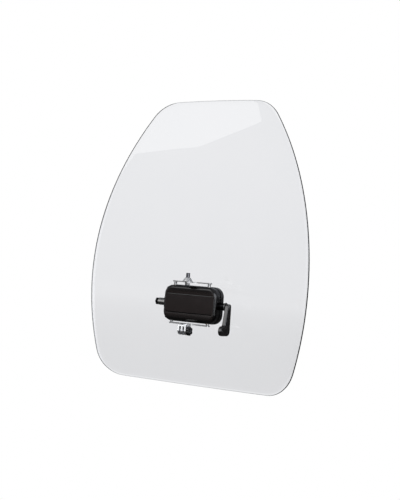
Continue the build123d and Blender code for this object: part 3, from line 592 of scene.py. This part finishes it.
# ----------------------------------------------------------- the accessory stud
# A turned 6.35 mm stud with a flared collar stands on the upper bracket, and is
# pulled down by a nut underneath.
stud_steel = turned("turned stainless stud", "#77777a", "#626265", 0.36, 0.0004, 2)
fit(copy_of("accessory_stud", "accessory_stud_steel", 0.0002), "mount", stud_steel, "polished_steel",
    "accessory_stud")
fit(copy_of("stud_collar", "stud_collar_steel", 0.0003), "mount", strip_steel, "polished_steel",
    "stud_collar")
fit(copy_of("stud_nut", "stud_nut_steel", 0.0003), "mount", post_steel, "steel", "stud_nut")

# --------------------------------------------------------------- the bar knuckle
# A polished aluminium knuckle of three prongs hangs under the lower bracket on
# two screws, with a captive nut let into its left prong.
polished_alloy = turned("polished cast aluminium", "#f6f7f8", "#e8e9eb", 0.3, 0.0005, 0)
fit(copy_of("mount_knuckle", "bar_knuckle_alloy", 0.0005), "mount", polished_alloy, "polished_alloy",
    "mount_knuckle")
fit(copy_of("knuckle_screws", "knuckle_screws_bright", 0.0001), "mount", bright_steel, "steel",
    "knuckle_screws")
fit(copy_of("captive_nut", "captive_nut_black", 0.0002), "mount", black_oxide, "black_steel", "captive_nut")

# --------------------------------------------------------------- the thumb screw
# A six-lobed black knob moulded on an M5 screw closes the knuckle.
knob_black = moulding("black moulded knob", "#0e0e0e", "#1a1918", 0.25, 0.0008, 0.00002, 0.3)
fit(copy_of("thumb_screw_knob", "thumb_screw_knob_black", 0.0004), "knob", knob_black, "knob_plastic",
    "thumb_screw_knob")
finish_node("thumb_screw_stud", zinc_steel)

# ----------------------------------------------------------- studio and camera
# A white sweep with no horizon, a dim surround for the gloss, a tall softbox whose
# lower edge shows in the top of the sheet, and four soft lamps on the hardware.


def through_sheet(tree, path):
    """1 for light that has passed the sheet without a reflection, and 0 for the rest."""
    unreflected = add_node(tree, "ShaderNodeMath", {0: path.outputs["Glossy Depth"], 1: 0.5},
                           operation="LESS_THAN")
    return add_node(tree, "ShaderNodeMath", {
        0: path.outputs["Is Transmission Ray"], 1: unreflected.outputs[0]}, operation="MULTIPLY").outputs[0]


def glow(name, strength, near, far):
    """A light-giving finish: white to the eye, graded from near the object to far off as seen
    through the sheet, and of another strength as light on the object."""
    made = bpy.data.materials.new(name)
    made.use_nodes = True
    tree = made.node_tree
    tree.nodes.clear()
    far_off = 7.0
    path = add_node(tree, "ShaderNodeLightPath")
    away = add_node(tree, "ShaderNodeVectorMath", {
        0: add_node(tree, "ShaderNodeTexCoord").outputs["Object"]}, operation="LENGTH")
    graded = add_node(tree, "ShaderNodeMapRange", {
        "Value": away.outputs["Value"], "From Min": 0.0, "From Max": far_off,
        "To Min": near, "To Max": far})
    through = add_node(tree, "ShaderNodeMapRange", {
        "Value": through_sheet(tree, path), "To Min": strength, "To Max": graded.outputs[0]})
    power = add_node(tree, "ShaderNodeMapRange", {
        "Value": path.outputs["Is Camera Ray"], "To Min": through.outputs[0], "To Max": 1.0})
    light = add_node(tree, "ShaderNodeEmission", {"Strength": power.outputs[0]})
    add_node(tree, "ShaderNodeOutputMaterial", {"Surface": light.outputs[0]})
    return made


def panel(name, corners, finish):
    """A flat light-giving panel that is not part of the object."""
    mesh = bpy.data.meshes.new(name)
    mesh.from_pydata(corners, [], [range(len(corners))])
    mesh.materials.append(finish)
    made = bpy.data.objects.new(name, mesh)
    scene.collection.objects.link(made)
    return made


studio = bpy.data.worlds.new("studio")
scene.world = studio
studio.use_nodes = True
sky = studio.node_tree
sky.nodes.clear()
path = add_node(sky, "ShaderNodeLightPath")
direct = add_node(sky, "ShaderNodeMath", {
    0: path.outputs["Is Camera Ray"], 1: through_sheet(sky, path)}, operation="MAXIMUM")
toward = add_node(sky, "ShaderNodeTexCoord").outputs["Generated"]
heading = add_node(sky, "ShaderNodeSeparateXYZ", {0: toward})
surround = add_node(sky, "ShaderNodeMapRange", {
    "Value": heading.outputs["Z"], "From Min": -0.3, "From Max": 0.35, "To Min": 0.08, "To Max": 0.34})
# a bright wall behind the camera and to its right, for the metalwork's reflections
beside = add_node(sky, "ShaderNodeVectorMath", {0: toward, 1: (0.7, -0.7, 0.1)},
                  operation="DOT_PRODUCT")
wall = add_node(sky, "ShaderNodeMapRange", {
    "Value": beside.outputs["Value"], "From Min": 0.82, "From Max": 0.9, "To Min": 0.0, "To Max": 2.4})
# pale walls far off to either side, so that the sheet is not black where it is seen edge on
sideways = add_node(sky, "ShaderNodeMath", {0: heading.outputs["X"]}, operation="ABSOLUTE")
sides = add_node(sky, "ShaderNodeMapRange", {
    "Value": sideways.outputs[0], "From Min": 0.9, "From Max": 0.97, "To Min": 0.0, "To Max": 0.7})
walls = add_node(sky, "ShaderNodeMath", {0: sides.outputs[0], 1: wall.outputs[0]}, operation="ADD")
both = add_node(sky, "ShaderNodeMath", {0: surround.outputs[0], 1: walls.outputs[0]}, operation="ADD")
dim = add_node(sky, "ShaderNodeBackground", {"Strength": both.outputs[0]})
dim.inputs["Color"].default_value = colour("#f4f7ff")
seen_through = add_node(sky, "ShaderNodeMapRange", {
    "Value": heading.outputs["Z"], "From Min": 0.0, "From Max": 0.12, "To Min": 0.96, "To Max": 0.99})
backdrop = add_node(sky, "ShaderNodeMapRange", {
    "Value": path.outputs["Is Camera Ray"], "To Min": seen_through.outputs[0], "To Max": 1.0})
white = add_node(sky, "ShaderNodeBackground", {"Strength": backdrop.outputs[0]})
white.inputs["Color"].default_value = colour("#ffffff")
chosen = add_node(sky, "ShaderNodeMixShader", {
    0: direct.outputs[0], 1: dim.outputs[0], 2: white.outputs[0]})
add_node(sky, "ShaderNodeOutputWorld", {"Surface": chosen.outputs[0]})

floor_half, floor_level = 12.0, cad_box[0][2] - 0.0005
panel("floor", [
    (-floor_half, -floor_half, floor_level), (floor_half, -floor_half, floor_level),
    (floor_half, floor_half, floor_level), (-floor_half, floor_half, floor_level),
], glow("white sweep", 0.06, 0.875, 0.975))
softbox_y = -1.6
softbox = panel("softbox", [
    (-0.30, softbox_y, 0.49), (-0.82, softbox_y, 0.552), (-1.605, softbox_y, 0.736),
    (-1.52, softbox_y, 0.80), (-1.50, softbox_y, 1.60), (-0.30, softbox_y, 1.60),
], glow("softbox cloth", 1.5, 1.5, 1.5))
softbox.visible_camera = False
softbox.visible_transmission = False

# No lamp lights the sheet, which mirrors only the softbox and the surround. Three lamps are for
# all the hardware. The card lamp is for the knuckle, collar, adjuster sleeve and lever alone, as
# a small card held close to them would be.
hardware = bpy.data.collections.new("hardware")
for piece in scene.objects:
    if piece.type == "MESH" and piece not in (sheet, softbox):
        hardware.objects.link(piece)
metalwork = bpy.data.collections.new("metalwork")
for name in ("stud_collar_steel", "bar_knuckle_alloy", "knuckle_screws_bright",
             "adjuster_sleeve_steel", "clamp_lever_nylon", "lever_screw_bright"):
    metalwork.objects.link(bpy.data.objects[name])
clutch_middle = Vector((0.0, 0.02, 0.043))
for name, place, width, height, power, lit in (
    ("key lamp", (-0.9, -1.4, 1.5), 0.7, 0.7, 2.0, hardware),
    ("side lamp", (1.9, -0.9, 0.35), 0.12, 1.0, 1.6, hardware),
    ("back lamp", (-0.6, 1.8, 1.2), 1.0, 1.0, 3.0, hardware),
    ("card lamp", (-0.75, -1.28, 0.16), 1.1, 1.1, 7.0, metalwork),
):
    light = bpy.data.lights.new(name, "AREA")
    light.shape, light.size, light.size_y, light.energy = "RECTANGLE", width, height, power
    lamp = bpy.data.objects.new(name, light)
    lamp.location = place
    lamp.rotation_euler = (clutch_middle - Vector(place)).to_track_quat("-Z", "Y").to_euler()
    scene.collection.objects.link(lamp)
    lamp.light_linking.receiver_collection = lit

scene.view_settings.view_transform = "Standard"
scene.view_settings.look = "None"
lens = bpy.data.cameras.new("camera")
lens.lens = 72.0
lens.shift_x, lens.shift_y = -0.0158, -0.0150
camera = bpy.data.objects.new("camera", lens)
scene.collection.objects.link(camera)
scene.camera = camera
azimuth, elevation, roll = math.radians(31.07), math.radians(-2.19), math.radians(4.5)
aim, distance = Vector((0.0, 0.054, 0.1473)), 1.6734
back = Vector((math.sin(azimuth) * math.cos(elevation), -math.cos(azimuth) * math.cos(elevation),
               math.sin(elevation)))
level = Vector((0, 0, 1)).cross(back).normalized()
right = level * math.cos(roll) + back.cross(level) * math.sin(roll)
turn = Matrix((right, back.cross(right), back)).transposed().to_4x4()
camera.matrix_world = Matrix.Translation(aim + back * distance) @ turn
